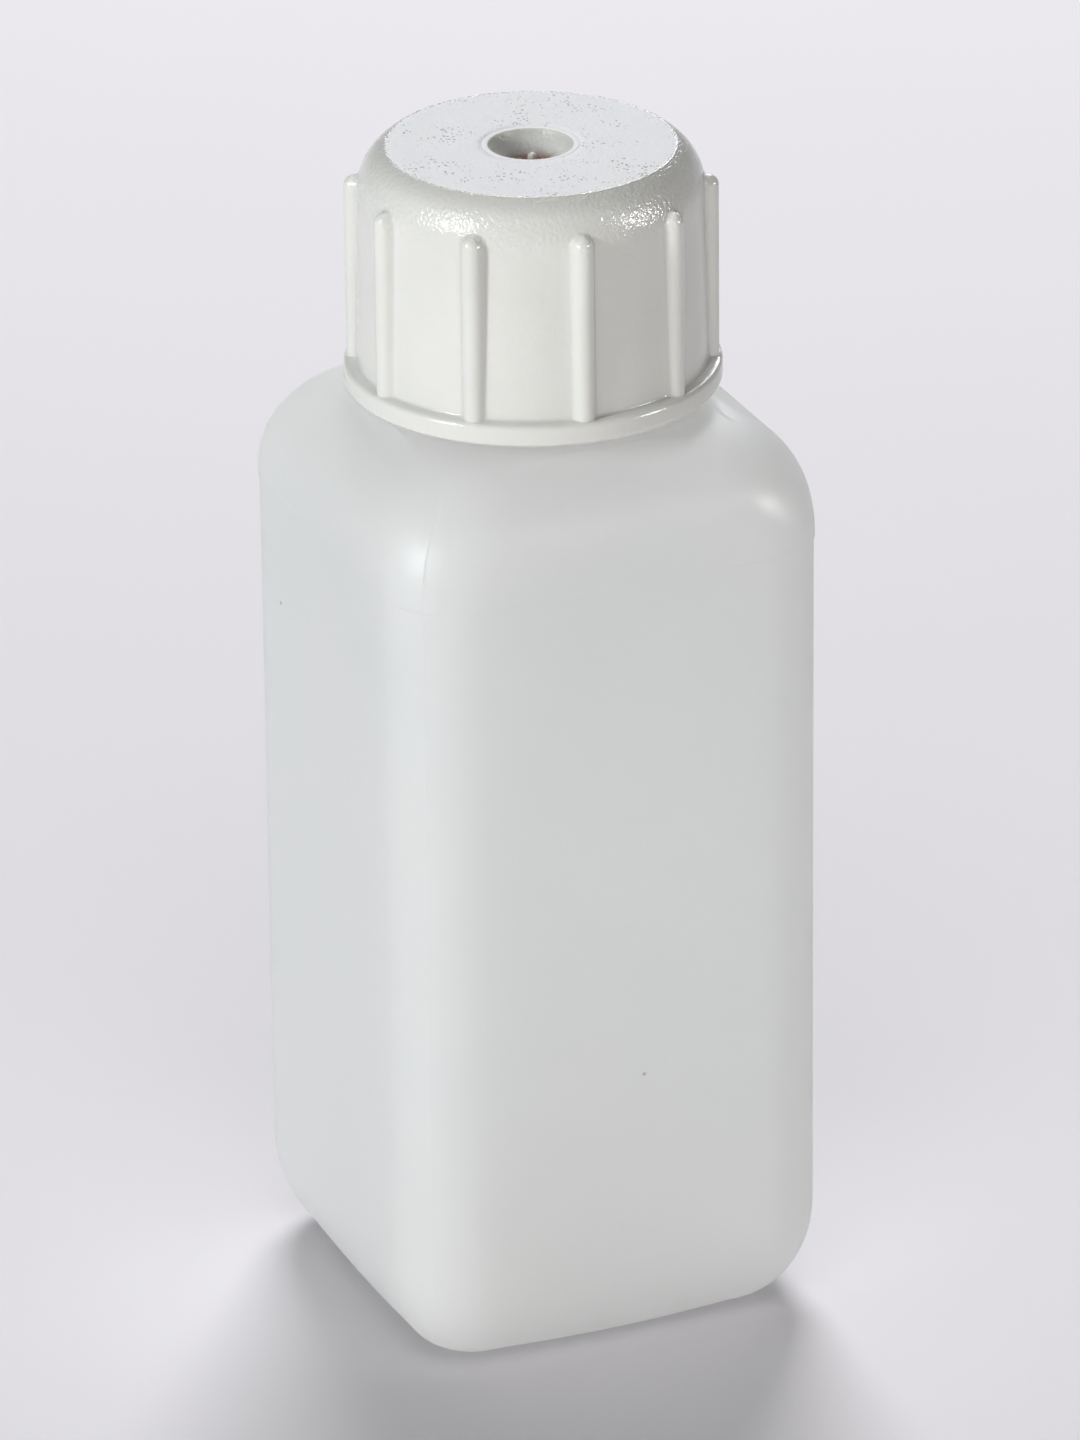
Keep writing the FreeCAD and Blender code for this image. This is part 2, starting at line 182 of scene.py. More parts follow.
RIBS = 10
RIB = 1.25 * MM
RIB_CIRCLE = 19.75 * MM
RIB_TOP = 136.0 * MM
RIB_PHASE = math.radians(11.7)
RIB_BLEND = 0.45 * MM            # rounding where a rib runs into the skirt
RIB_SECTOR = 4.6                 # degrees on each side of a rib where the mesh is finer
RIB_COLUMNS = 24
GAP_COLUMNS = 10
RIB_REACH = 2.0 * MM             # no rib stands out from the skirt by more than this
RIB_STEPS = 60                   # small steps in towards the ribs' surface, each a share of the gap left
RIB_STEP = 0.8
RIBBED_FROM = 17.5 * MM          # no rib comes further in than this radius

random = np.random.RandomState(7)


# ------------------------------------------------------------------ curves and grids


def between(start, end, part):
    return start + (end - start) * part


def smooth(values, low, high):
    """0 below low, 1 above high and an even S between them."""
    part = np.clip((values - low) / (high - low), 0, 1)
    return part * part * (3 - 2 * part)


def turn_from(place, angle):
    """Signed turn from a place to an angle, the shorter way round."""
    return (angle - place + math.pi) % FULL_TURN - math.pi


def outline(angles, half, corner, bow):
    """Distance from the axis to a square with round corners, whose faces bow out at their middle."""
    folded = np.abs((angles + QUARTER_TURN / 2) % QUARTER_TURN - QUARTER_TURN / 2)
    flat = np.maximum(half - corner, 1e-7)
    reach = half * np.tan(folded) / flat
    swell = bow * np.maximum(1 - reach ** 2, 0) ** BOW_POWER
    along = flat * (np.cos(folded) + np.sin(folded))
    round_part = along + np.sqrt(np.maximum(along ** 2 - 2 * flat ** 2 + corner ** 2, 0))
    return np.where(reach <= 1, (half + swell) / np.cos(folded), round_part)


def crowded(count, places, offsets):
    """Angles round a ring, closer together near the corners, with extra ones round some places."""
    even = np.arange(count) * FULL_TURN / count
    warped = (even + CROWDING * np.sin(4 * even)) % FULL_TURN
    clear = max(offsets) * 1.2
    kept = [angle for angle in warped if all(abs(turn_from(place, angle)) > clear for place in places)]
    extra = [(place + offset) % FULL_TURN for place in places for offset in offsets]
    return np.sort(np.array(kept + extra))


def thread_height(level, angles, foot):
    """Height of a right-hand thread ridge over its wall, with its two ends run out smoothly."""
    height = np.zeros(np.broadcast(level, angles).shape)
    last = THREAD_TURNS * FULL_TURN
    for turn in range(int(THREAD_TURNS) + 1):
        run = angles + turn * FULL_TURN
        middle = foot + THREAD_PITCH * run / FULL_TURN
        shape = 1 - smooth(np.abs(level - middle), THREAD_CREST, THREAD_HALF)
        ends = smooth(run, 0, THREAD_RUN_OUT) * (1 - smooth(run, last - THREAD_RUN_OUT, last))
        height = np.maximum(height, THREAD_HEIGHT * shape * ends)
    return height


class Profile:
    """Half section drawn from place to place, as radii and levels. Its start isn't one of its points."""

    def __init__(self, radius, level):
        self.place = np.array((radius, level))
        self.parts = []

    def line(self, radius, level, count):
        """Straight on, in so many points."""
        start, end = self.place, np.array((radius, level))
        steps = np.arange(1, count + 1)[:, None] / count
        self.parts.append(between(start, end, steps))
        self.place = end

    def curve(self, radius, level, bend, clockwise, count):
        """Round the shorter arc of a bend radius, in so many points."""
        start, end = self.place, np.array((radius, level))
        chord = end - start
        length = np.hypot(*chord)
        reach = math.sqrt(max(bend ** 2 - (length / 2) ** 2, 0))
        side = np.array([-chord[1], chord[0]]) / length
        centre = (start + end) / 2 + side * (-reach if clockwise else reach)
        first = math.atan2(*(start - centre)[::-1])
        sweep = turn_from(first, math.atan2(*(end - centre)[::-1]))
        angles = first + sweep * np.arange(1, count + 1) / count
        self.parts.append(centre + bend * np.stack([np.cos(angles), np.sin(angles)], axis=1))
        self.place = end

    def points(self):
        return np.concatenate(self.parts)


def grid_piece(name, points, first_pole, last_pole):
    """Smooth-shaded mesh of rings of points, closed by a point at each end."""
    rings, columns = points.shape[:2]
    vertices = np.concatenate([points.reshape(-1, 3), [first_pole, last_pole]])
    start = np.arange(rings - 1)[:, None] * columns
    here = np.arange(columns)
    after = np.roll(here, -1)
    quads = np.stack([start + here, start + after, start + columns + after, start + columns + here], axis=-1)
    first, last = rings * columns, rings * columns + 1
    top = (rings - 1) * columns
    first_fan = [(first, int(b), int(a)) for a, b in zip(here, after)]
    last_fan = [(last, int(top + a), int(top + b)) for a, b in zip(here, after)]
    mesh = bpy.data.meshes.new(name)
    mesh.from_pydata(vertices.tolist(), [], quads.reshape(-1, 4).tolist() + first_fan + last_fan)
    mesh.shade_smooth()
    piece = bpy.data.objects.new(name, mesh)
    bpy.context.scene.collection.objects.link(piece)
    return piece


# ------------------------------------------------------------------ bottle


def row(level, half, corner, bow=0.0, body=0.0):
    """One ring: its level, half width, corner radius, bow of its faces and share of the body's faint step."""
    return level, half, corner, bow, body


def base_turn(angle):
    """Half width, corner radius and bow where the base turns up: flat at 0, upright at a quarter turn."""
    under = 1 - math.sin(angle)
    half = between(BODY_HALF, BASE_HALF, under)
    corner = between(CORNER, BASE_CORNER, under)
    return half, corner, between(SINK, BASE_BOW, under)


def shoulder(rise):
    """Half width and corner radius at a share of the shoulder's height."""
    edge_reach = math.sqrt(2) * (HALF - CORNER) + CORNER
    face = between(NECK_ROOT, HALF, (1 - rise ** FACE_CURVE[0]) ** FACE_CURVE[1])
    edge = between(NECK_ROOT, edge_reach, (1 - rise ** EDGE_CURVE[0]) ** EDGE_CURVE[1])
    corner = (math.sqrt(2) * face - edge) / (math.sqrt(2) - 1)
    return face, min(corner, face)


def underside_rows():
    """From the middle of the recess out to the flat that the bottle stands on."""
    rows = []
    for width, share in RECESS_PROFILE:
        half = width * MM
        rows.append(row(share * RECESS_DEPTH, half, half * RECESS_CORNER / RECESS_HALF))
    for part in (0.35, 0.7):
        half = between(RECESS_RIM, BASE_HALF, part)
        rows.append(row(0.0, half, between(RECESS_CORNER, BASE_CORNER, part), BASE_BOW * part))
    return rows


def side_rows():
    """Round the edge of the base, up the panels and over the step under the shoulder."""
    rows = []
    for angle in np.linspace(0, QUARTER_TURN, 30):
        rows.append(row(BASE_RISE * (1 - math.cos(angle)), *base_turn(angle), math.sin(angle)))
    for level in np.linspace(BASE_RISE, PANEL_TOP, 20)[1:]:
        rows.append(row(level, BODY_HALF, CORNER, SINK, 1.0))
    for drop in (2.5, 1.2, 0.5, 0.2, 0.07):
        rows.append(row(STEP_LEVEL - drop * MM, BODY_HALF, CORNER, SINK, 1.0))
    for rise, part in ((0.0, 0.15), (0.03, 0.5), (0.07, 0.85), (0.12, 1.0)):
        rows.append(row(STEP_LEVEL + rise * MM, BODY_HALF + STEP * part, CORNER, SINK, 1 - part))
    return rows


def shoulder_rows():
    rows = []
    for part in np.linspace(0.0, 1.0, 58)[1:]:
        rise = 1 - (1 - part) ** 1.7
        level = max(between(STEP_LEVEL, SHOULDER_LEVEL, rise), STEP_LEVEL + STEP_END)
        rows.append(row(level, *shoulder(rise), SINK * (1 - smooth(rise, 0, 0.5))))
    return rows


def neck_rows():
    """Up the neck from the shoulder, over its land and down its bore."""
    neck = Profile(NECK_ROOT, SHOULDER_LEVEL)
    neck.line(NECK + ROOT_ROUND, SHOULDER_LEVEL + ROOT_RISE, 3)
    neck.curve(NECK, SHOULDER_LEVEL + ROOT_RISE + ROOT_ROUND, ROOT_ROUND, True, 6)
    neck.line(NECK, THREADED_NECK[0], 6)
    neck.line(NECK, THREADED_NECK[1], 80)
    neck.line(NECK, LAND - LAND_ROUND, 5)
    neck.curve(NECK - LAND_ROUND, LAND, LAND_ROUND, False, 5)
    neck.line(BORE + LAND_ROUND, LAND, 3)
    neck.curve(BORE, LAND - LAND_ROUND, LAND_ROUND, False, 5)
    neck.line(BORE, BORE_FOOT, 12)
    return [row(level, radius, radius) for radius, level in neck.points()]


def hollow_rows():
    """Down the inside, a wall's thickness in from the outside, to the middle of the floor."""
    rows = []
    for part in (0.97, 0.9, 0.8, 0.68, 0.55, 0.4, 0.2, 0.0):
        half, corner = shoulder(part)
        rows.append(row(between(STEP_LEVEL, SHOULDER_LEVEL - WALL, part), half - WALL, corner - WALL))
    for level in (90 * MM, 60 * MM, 30 * MM):
        rows.append(row(level, BODY_HALF - WALL, CORNER - WALL, SINK))
    for angle in np.linspace(QUARTER_TURN, 0, 8):
        half, corner, bow = base_turn(angle)
        rows.append(row(between(FLOOR, BASE_RISE, 1 - math.cos(angle)), half - WALL, corner - WALL, bow))
    rows.append(row(FLOOR, FLOOR_MIDDLE, FLOOR_MIDDLE_CORNER))
    return rows


def bottle_rings(angles):
    """Rings from the middle of the underside, up the outside, over the land and down the inside."""
    outside = underside_rows() + side_rows() + shoulder_rows()
    neck = neck_rows()
    rows = np.array(outside + neck + hollow_rows())
    levels, halves, corners, bows, body = (rows[:, index, None] for index in range(5))
    order = np.arange(len(rows))[:, None]
    radii = outline(angles[None, :], halves, corners, bows)

    in_neck = (order >= len(outside)) & (order < len(outside) + len(neck))
    threaded = in_neck & (np.abs(halves - NECK) < NEARLY_NOTHING)
    radii = radii + np.where(threaded, thread_height(levels, angles[None, :], THREAD_LEVEL), 0)

    cornered = smooth(np.abs(np.cos(2 * angles)), 1.0, 0.0)
    radii = radii + body * (STEP - STEP_AT_FACE) * (1 - cornered)

    on_outside = (order < len(outside)) & (levels > PARTING_FOOT)
    strong = smooth(levels, *PARTING_GROWS) * (1 - smooth(levels, *PARTING_FADES))
    for place in PARTING:
        away = PARTING_REACH * np.abs(turn_from(place, angles))
        ridge = PARTING_HEIGHT * np.exp(-(away / PARTING_WIDTH) ** 2)
        radii = radii + np.where(on_outside, between(PARTING_FAINT, 1.0, strong) * ridge, 0)

    return np.stack([radii * np.cos(angles), radii * np.sin(angles),
                     np.broadcast_to(levels, radii.shape)], axis=-1)


def make_bottle():
    beside = np.array([0.07, 0.14, 0.22, 0.35, 0.6]) * MM / PARTING_REACH
    offsets = np.concatenate([-beside[::-1], [0.0], beside])
    points = bottle_rings(crowded(300, PARTING, list(offsets)))
    return grid_piece("bottle_shell", points, (0, 0, RECESS_DEPTH), (0, 0, FLOOR))


def make_pinch_weld():
    """Low rounded seam across the recess of the underside, where the blown tube was pinched shut."""
    along = np.linspace(-1, 1, 49)[1:-1, None]
    around = np.linspace(0, FULL_TURN, 24, endpoint=False)[None, :]
    taper = (1 - along ** 4) ** 0.5
    wave = WELD_WANDER * np.sin(9 * along + 1) + WELD_RIPPLE * np.sin(23 * along)
    across = WELD_HALF_WIDTH * taper * np.cos(around) + wave * taper
    hang = WELD_HEIGHT * taper * (1 + WELD_UNEVEN * np.sin(14 * along)) * np.sin(around)
    length = np.broadcast_to(along * WELD_HALF_LENGTH, across.shape)
    x = (length - across) * math.sqrt(0.5)
    y = (length + across) * math.sqrt(0.5)
    points = np.stack([x, y, RECESS_DEPTH - hang], axis=-1)
    end = WELD_HALF_LENGTH * math.sqrt(0.5)
    return grid_piece("pinch_weld", points, (-end, -end, RECESS_DEPTH), (end, end, RECESS_DEPTH))


# ------------------------------------------------------------------ cap


def draw_cap_bore(cap):
    """From the axis out under the top, and down the bore past the bead and the thread."""
    cap.line(WELL, WELL_LEVEL - WELL_WALL, 6)
    cap.line(WELL + WELL_WALL, CEILING, 4)
    cap.line(SKIRT_BORE, CEILING, 6)
    cap.line(SKIRT_BORE, BEAD_LEVEL, 2)
    cap.line(BEAD, BEAD_LEVEL - BEAD_BEVEL, 2)
    cap.line(BEAD, BEAD_LEVEL - BEAD_HEIGHT, 2)
    cap.line(SKIRT_BORE, BEAD_LEVEL - 2 * BEAD_HEIGHT, 3)
    cap.line(SKIRT_BORE, THREADED_CAP[1], 3)
    cap.line(SKIRT_BORE, THREADED_CAP[0], 70)
    cap.line(SKIRT_BORE, CAP_FOOT + RING_ROUND, 4)


def draw_cap_outside(cap):
    """Round the foot, up the ring and the skirt and over the crown to the edge of the disc."""
    cap.curve(SKIRT_BORE + RING_ROUND, CAP_FOOT, RING_ROUND, False, 5)
    cap.line(RING - RING_ROUND, CAP_FOOT, 3)
    cap.curve(RING, CAP_FOOT + RING_ROUND, RING_ROUND, False, 6)
    cap.line(RING, RING_TOP - RING_ROUND, 3)
    cap.curve(RING - RING_BEVEL, RING_TOP - RING_SLOPE, RING_ROUND, False, 6)
    cap.line(SKIRT_FOOT + SKIRT_FILLET, RING_TOP, 3)
    cap.curve(SKIRT_FOOT, RING_TOP + SKIRT_FILLET, SKIRT_FILLET, True, 5)
    cap.line(SKIRT_FOOT, TAPER_FOOT, 2)
    cap.line(SKIRT_HEAD, TAPER_HEAD, 10)
    cap.line(SKIRT_HEAD, CROWN_LEVEL, 16)
    cap.curve(DISC, CAP_TOP - DISC_STEP, CROWN, False, 44)


def draw_cap_top(cap):
    """In over the disc, down into the gate well and up the gate mark."""
    for inset, drop in DISC_EDGE:
        cap.line(DISC - inset, CAP_TOP - drop, 2)
    cap.line(LIP_BAND + LIP_GROOVE, CAP_TOP, 12)
    cap.line(LIP_BAND, CAP_TOP - LIP_GROOVE, 2)
    cap.line(LIP_BAND - LIP_GROOVE, CAP_TOP, 2)
    cap.line(WELL, CAP_TOP, 3)
    cap.curve(WELL - WELL_LIP, CAP_TOP - WELL_LIP, WELL_LIP, False, 6)
    cap.curve(WELL_FLOOR, WELL_LEVEL, WELL_CURVE, True, 12)
    cap.line(GATE + GATE_FILLET, WELL_LEVEL, 3)
    cap.curve(GATE, WELL_LEVEL + GATE_FILLET, GATE_FILLET, True, 3)
    cap.line(GATE, WELL_LEVEL + GATE_HEIGHT - GATE_TIP, 5)
    cap.curve(GATE_TIP_FLAT, WELL_LEVEL + GATE_HEIGHT, GATE_TIP_BEND, False, 4)


def cap_angles():
    """Angles round the cap, closer together at its ribs."""
    sector = 360 / RIBS
    rib = np.linspace(-RIB_SECTOR, RIB_SECTOR, RIB_COLUMNS)
    gap = np.linspace(RIB_SECTOR, sector - RIB_SECTOR, GAP_COLUMNS + 2)[1:-1]
    one = np.radians(np.concatenate([rib, gap]))
    return np.concatenate([RIB_PHASE + FULL_TURN * index / RIBS + one for index in range(RIBS)])


def capsule(points, angle):
    """Signed distance to one rib: an upright rod with a round top."""
    x = points[..., 0] - RIB_CIRCLE * math.cos(angle)
    y = points[..., 1] - RIB_CIRCLE * math.sin(angle)
    z = np.maximum(points[..., 2] - (RIB_TOP - RIB), 0)
    return np.sqrt(x * x + y * y + z * z) - RIB


def raise_ribs(points, normals):
    """Moves the skirt's points out along their normals to the skirt and ribs blended together."""
    away = np.full(points.shape[:2], RIB_REACH)
    for _ in range(RIB_STEPS):
        here = points + away[..., None] * normals
        rib = np.min([capsule(here, RIB_PHASE + FULL_TURN * index / RIBS) for index in range(RIBS)], axis=0)
        near = np.maximum(RIB_BLEND - np.abs(away - rib), 0) / RIB_BLEND
        blended = np.minimum(away, rib) - near * near * RIB_BLEND / 4
        away = away - RIB_STEP * blended
    return points + away[..., None] * normals


def outward(profile, angles):
    """Directions in which the ribs stand out: level on the skirt, square to the surface on the crown."""
    tangent = np.gradient(profile, axis=0)
    tangent /= np.linalg.norm(tangent, axis=1, keepdims=True)
    on_crown = profile[:, 1] > CROWN_LEVEL
    sideways = np.where(on_crown, tangent[:, 1], 1.0)[:, None]
    upwards = np.where(on_crown, -tangent[:, 0], 0.0)[:, None]
    shape = (len(profile), len(angles))
    return np.stack([sideways * np.cos(angles), sideways * np.sin(angles),
                     np.broadcast_to(upwards, shape)], axis=-1)


def lean_gate(points, profile, angles):
    """Leans the gate mark and lets its surface waver."""
    mark = (profile[:, 0] < GATE + 0.05 * MM) & (profile[:, 1] > WELL_LEVEL + 0.05 * MM)
    rise = (points[..., 2] - WELL_LEVEL) * mark[:, None]
    waver = GATE_WAVER * mark[:, None] * np.sin(3 * angles + GATE_WAVER_RATE * rise)
    points[..., 0] += GATE_LEAN[0] * rise + waver
    points[..., 1] += GATE_LEAN[1] * rise


def make_cap():
    angles = cap_angles()
    half_section = Profile(0, WELL_LEVEL - WELL_WALL)
    draw_cap_bore(half_section)
    draw_cap_outside(half_section)
    draw_cap_top(half_section)
    profile = half_section.points()
    radius, level = profile[:, 0, None], profile[:, 1, None]

    past_bore = int(np.argmax(radius[:, 0] > SKIRT_BORE + 0.01 * MM))
    inside = np.arange(len(profile)) < past_bore
    bored = inside[:, None] & (np.abs(radius - SKIRT_BORE) < NEARLY_NOTHING)
    radius = radius - np.where(bored, thread_height(level, angles % FULL_TURN, CAP_THREAD_LEVEL), 0)

    ragged = sum(random.uniform(0.3, 1) * np.sin(wave * angles + random.uniform(0, FULL_TURN))
                 for wave in DISC_WAVES) / 3
    edge = (np.abs(level - CAP_TOP) < DISC_EDGE_DEPTH) & (radius > DISC - DISC_EDGE_WIDTH)
    radius = radius + np.where(edge, DISC_RAGGED * ragged, 0)

    points = np.stack([radius * np.cos(angles), radius * np.sin(angles),
                       np.broadcast_to(level, radius.shape)], axis=-1)
    ribbed = (~inside) & (profile[:, 1] > RING_TOP - 0.2 * MM) & (profile[:, 0] > RIBBED_FROM)
    points[ribbed] = raise_ribs(points[ribbed], outward(profile, angles)[ribbed])
    lean_gate(points, profile, angles)

    tip = (GATE_LEAN[0] * GATE_HEIGHT, GATE_LEAN[1] * GATE_HEIGHT, WELL_LEVEL + GATE_HEIGHT)
    return grid_piece("cap_shell", points, (0, 0, WELL_LEVEL - WELL_WALL), tip)


# ------------------------------------------------------------------ materials

LIGHT_THROUGH = 0.68             # share of translucent shading in the bottle's wall, over its satin surface
SPECK = (0.12, 0.11, 0.10)
MILK = ((0.88, 0.915, 0.935), (0.90, 0.925, 0.935))
# Whiter tones where the plastic is thick; towards the base they are also painted light, standing in for light
# bounced up from the floor.
MILK_THICK_AND_BOUNCE_LIT = (0.925, 0.94, 0.95)
GLOW = ((0.983, 0.977, 0.966), (0.987, 0.98, 0.97))
GLOW_THICK_AND_BOUNCE_LIT = (0.996, 0.988, 0.976)

IVORY = ((0.73, 0.73, 0.70), (0.75, 0.75, 0.72))
# Painted shade: the ivory darkened towards the top disc and down into the gate well.
IVORY_PAINTED_SHADE = (0.50, 0.50, 0.47)
CHALK = ((0.88, 0.865, 0.90), (0.97, 0.96, 0.985))
# Painted shade in the disc's pits.
PIT_PAINTED_SHADE = (0.25, 0.23, 0.22)
STAIN = (0.22, 0.11, 0.07)

INSERT_WHITE = ((0.86, 0.86, 0.84), (0.90, 0.90, 0.89))
FLOOR_TONES = ((0.86, 0.85, 0.885), (0.875, 0.865, 0.895))


class Look:
    """A material's node tree, with short calls for the nodes that the looks here share."""

    def __init__(self, name):
        self.material = bpy.data.materials.new(name)
        self.material.use_nodes = True
        self.tree = self.material.node_tree
        self.shader = self.tree.nodes["Principled BSDF"]
        self.place = self.tree.nodes.new("ShaderNodeTexCoord").outputs["Object"]

    def link(self, source, target):
        self.tree.links.new(source, target)

    def drive(self, name, source):
        """Feeds one socket of the shader with a pattern."""
        self.link(source, self.shader.inputs[name])

    def fix(self, **values):
        """Sets sockets of the shader to values that are the same all over."""
        for name, value in values.items():
            self.shader.inputs[name.replace("_", " ")].default_value = value

    def noise(self, size, detail):
        node = self.tree.nodes.new("ShaderNodeTexNoise")
        node.inputs["Scale"].default_value = 1 / size
        node.inputs["Detail"].default_value = detail
        self.link(self.place, node.inputs["Vector"])
        return node.outputs["Fac"]

    def scattered(self, size):
        """Distance to the nearest of many scattered points, as a share of their spacing."""
        node = self.tree.nodes.new("ShaderNodeTexVoronoi")
        node.inputs["Scale"].default_value = 1 / size
        self.link(self.place, node.inputs["Vector"])
        return node.outputs["Distance"]

    def spread(self, value, low, high, to_low=0.0, to_high=1.0):
        node = self.tree.nodes.new("ShaderNodeMapRange")
        for name, number in (("From Min", low), ("From Max", high), ("To Min", to_low), ("To Max", to_high)):
            node.inputs[name].default_value = number
        self.link(value, node.inputs["Value"])
        return node.outputs["Result"]

    def combine(self, operation, first, second=0.0):
        node = self.tree.nodes.new("ShaderNodeMath")
        node.operation = operation
        for socket, value in zip(node.inputs, (first, second)):
            if isinstance(value, (int, float)):
                socket.default_value = value
            else:
                self.link(value, socket)
        return node.outputs["Value"]

    def product(self, first, *others):
        for other in others:
            first = self.combine("MULTIPLY", first, other)
        return first

    def blend(self, part, first, second):
        node = self.tree.nodes.new("ShaderNodeMix")
        node.data_type = "RGBA"
        for name, value in (("A", first), ("B", second)):
            socket = next(s for s in node.inputs if s.name == name and s.type == "RGBA")
            if isinstance(value, tuple):
                socket.default_value = (*value, 1)
            else:
                self.link(value, socket)
        self.link(part, node.inputs["Factor"])
        return next(s for s in node.outputs if s.type == "RGBA")

    def patches(self, size, detail):
        """Soft patches with clear middles."""
        return self.spread(self.noise(size, detail), 0.35, 0.65)

    def uneven(self, size, detail, low, high):
        """A value that wanders softly between two limits."""
        return self.spread(self.noise(size, detail), 0.3, 0.7, low, high)

    def bump(self, height, distance, below=None):
        node = self.tree.nodes.new("ShaderNodeBump")
        node.inputs["Distance"].default_value = distance
        self.link(height, node.inputs["Height"])
        if below:
            self.link(below, node.inputs["Normal"])
        return node.outputs["Normal"]

    def axes(self):
        node = self.tree.nodes.new("ShaderNodeSeparateXYZ")
        self.link(self.place, node.inputs["Vector"])
        return node.outputs

    def level(self):
        return self.axes()["Z"]

    def radius(self):
        axes = self.axes()
        squares = [self.product(axes[name], axes[name]) for name in "XY"]
        return self.combine("SQRT", self.combine("ADD", *squares))


def pass_light(look, colour):
    """Lets part of the light through a thin wall, in a colour."""
    glow = look.tree.nodes.new("ShaderNodeBsdfTranslucent")
    look.link(colour, glow.inputs["Color"])
    wall = look.tree.nodes.new("ShaderNodeMixShader")
    wall.inputs["Fac"].default_value = LIGHT_THROUGH
    look.link(look.shader.outputs["BSDF"], wall.inputs[1])
    look.link(glow.outputs["BSDF"], wall.inputs[2])
    look.link(wall.outputs["Shader"], look.tree.nodes["Material Output"].inputs["Surface"])


def polyethylene(name):
    """Natural translucent polyethylene: satin, faintly pebbled, with a few specks and hair scratches; whiter
    towards the neck where the plastic is thick, and towards the base both for thick plastic and as painted
    light bounced up from the floor.
    """
    look = Look(name)
    level = look.level()
    cloud = look.patches(18 * MM, 3)
    # Whiter towards the neck where the plastic is thick; towards the base, thick plastic and painted floor
    # bounce light together.
    near_base_thick_and_bounce_lit = look.spread(level, 6 * MM, 40 * MM, 0.8, 0.0)
    near_neck = look.spread(level, 99 * MM, 109 * MM)
    thick_and_bounce_lit = look.combine("MAXIMUM", near_base_thick_and_bounce_lit, near_neck)
    speck = look.spread(look.scattered(14 * MM), 0.008, 0.022, 0.5, 0.0)

    milk = look.blend(thick_and_bounce_lit, look.blend(cloud, *MILK), MILK_THICK_AND_BOUNCE_LIT)
    look.drive("Base Color", look.blend(speck, milk, SPECK))
    glow = look.blend(thick_and_bounce_lit, look.blend(cloud, *GLOW), GLOW_THICK_AND_BOUNCE_LIT)
    pass_light(look, look.blend(speck, glow, SPECK))

    line = look.combine("ABSOLUTE", look.combine("SUBTRACT", look.noise(30 * MM, 0), 0.5))
    here_and_there = look.spread(look.noise(14 * MM, 1), 0.56, 0.62)
    hair = look.product(look.spread(line, 0.0, 0.0022, 1.0, 0.0), here_and_there)
    satin = look.uneven(7 * MM, 4, 0.40, 0.48)
    look.drive("Roughness", look.combine("ADD", satin, look.product(hair, 0.25)))
    look.fix(IOR=1.75, Specular_IOR_Level=1.0)

    coarse = look.bump(look.noise(1.6 * MM, 2), 0.03 * MM)
    fine = look.bump(look.noise(0.5 * MM, 2), 0.014 * MM, coarse)
    look.drive("Normal", look.bump(hair, 0.02 * MM, fine))
    return look.material


def cap_moulding(name):
    """Glossy ivory moulding whose top disc is matt and pitted, with painted shade in its pits and towards its
    top, and a stain in the gate well.
    """
    look = Look(name)
    radius = look.radius()
    level = look.level()

    on_top = look.spread(level, CAP_TOP - 0.25 * MM, CAP_TOP - 0.15 * MM)
    past_well = look.spread(radius, WELL - 0.2 * MM, WELL - 0.1 * MM)
    jagged = look.combine("ADD", radius, look.uneven(0.35 * MM, 1, -0.22 * MM, 0.22 * MM))
    within_disc = look.spread(jagged, DISC - 0.27 * MM, DISC - 0.21 * MM, 1.0, 0.0)
    matt = look.product(on_top, past_well, within_disc)
    textured = look.product(matt, look.spread(radius, LIP_BAND, LIP_BAND + 0.4 * MM, 0.1, 1.0))

    pit_size = look.spread(look.noise(5 * MM, 2), 0.40, 0.60, 0.0, 0.27)
    # Pits, dented by the bump below, with their dark colour painted shade.
    pit_dent_and_shade = look.product(look.combine("LESS_THAN", look.scattered(0.55 * MM), pit_size), textured)

    # Painted shade: the crown gets darker towards the top disc, and the gate well's walls darker near their
    # top.
    painted_shade_near_top = look.spread(level, CROWN_LEVEL + 3.2 * MM, CAP_TOP - 0.1 * MM, 0.0, 0.6)
    ivory = look.blend(painted_shade_near_top, look.blend(look.patches(9 * MM, 3), *IVORY), IVORY_PAINTED_SHADE)
    chalk = look.blend(look.noise(0.35 * MM, 3), *CHALK)
    clean = look.blend(look.product(pit_dent_and_shade, 0.7), look.blend(matt, ivory, chalk), PIT_PAINTED_SHADE)
    deep = look.spread(level, WELL_LEVEL + 0.3 * MM, WELL_LEVEL + 1.8 * MM, 1.0, 0.0)
    in_well = look.spread(radius, 2.4 * MM, 3.9 * MM, 1.0, 0.0)
    blotches = look.spread(look.noise(0.9 * MM, 3), 0.25, 0.5)
    look.drive("Base Color", look.blend(look.product(deep, in_well, blotches), clean, STAIN))

    gloss = look.uneven(3 * MM, 4, 0.14, 0.20)
    dull_well = look.spread(radius, WELL - 0.3 * MM, WELL - 0.1 * MM, 0.25, 0.0)
    dull_disc = look.product(matt, 0.55)
    look.drive("Roughness", look.combine("ADD", look.combine("ADD", gloss, dull_well), dull_disc))
    look.fix(IOR=1.5, Subsurface_Weight=0.6, Subsurface_Scale=0.8 * MM, Subsurface_Radius=(1.0, 0.95, 0.8))

    on_crown = look.spread(level, CROWN_LEVEL - 2 * MM, CROWN_LEVEL + 1 * MM, 0.28, 1.0)
    pebbled = look.bump(look.product(look.noise(0.48 * MM, 2), on_crown), 0.14 * MM)
    grained = look.bump(look.product(look.noise(0.16 * MM, 3), textured), 0.06 * MM, pebbled)
    look.drive("Normal", look.bump(pit_dent_and_shade, -0.08 * MM, grained))
    return look.material


